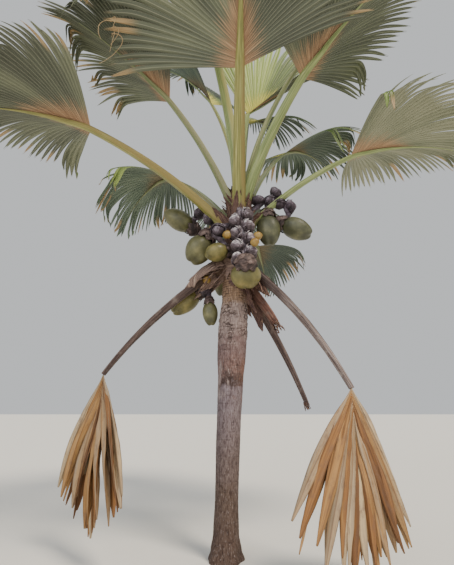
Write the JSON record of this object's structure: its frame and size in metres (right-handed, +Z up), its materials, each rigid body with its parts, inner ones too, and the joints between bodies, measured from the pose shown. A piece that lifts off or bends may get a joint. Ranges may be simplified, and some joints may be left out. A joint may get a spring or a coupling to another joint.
{
  "type": "sea coconut palm tree",
  "caption": "Whole fan-leaved palm: flared, slightly leaning trunk, big pleated fan leaves on stout petioles, hanging fruit and dead leaves.",
  "frame": {"origin": "middle of the flat cut under the trunk, at ground level", "axes": "+Z up; the picture looks along +Y, so -Y faces the camera and +X is to its right"},
  "size_m": [7.197, 5.9874, 7.6325],
  "materials": {
    "bark": "rough, ringed and flaking",
    "green_petiole": "satin",
    "green_blade": "satin",
    "dry_petiole": "rough",
    "dry_blade": "rough",
    "rind": "satin"
  },
  "bodies": {
    "root": {"trunk": "bark", "petiole_front": "green_petiole", "blade_front": "green_blade", "petiole_front_left": "green_petiole", "blade_front_left": "green_blade", "petiole_left_upper": "green_petiole", "blade_left_upper": "green_blade", "petiole_left_lower": "green_petiole", "blade_left_lower": "green_blade", "petiole_back_left_upper": "green_petiole", "blade_back_left_upper": "green_blade", "petiole_back_left_lower": "green_petiole", "blade_back_left_lower": "green_blade", "petiole_right_upper": "green_petiole", "blade_right_upper": "green_blade", "petiole_right_lower": "green_petiole", "blade_right_lower": "green_blade", "petiole_right_inner": "green_petiole", "blade_right_inner": "green_blade", "petiole_back_right": "green_petiole", "blade_back_right": "green_blade", "petiole_back_upper": "green_petiole", "blade_back_upper": "green_blade", "petiole_back": "green_petiole", "blade_back": "green_blade", "petiole_back_low": "green_petiole", "blade_back_low": "green_blade", "petiole_back_lowest": "green_petiole", "blade_back_lowest": "green_blade", "dead_petiole_left": "dry_petiole", "dead_petiole_right": "dry_petiole", "dead_petiole_back_right": "dry_petiole", "dead_petiole_stub": "dry_petiole", "dead_blade_left": "dry_blade", "dead_blade_right": "dry_blade", "bunch_front": "rind", "bunch_right": "rind", "bunch_left": "rind", "bunch_front_left": "rind", "bunch_lower_left": "rind", "bunch_back": "rind"}
  },
  "joints": []
}
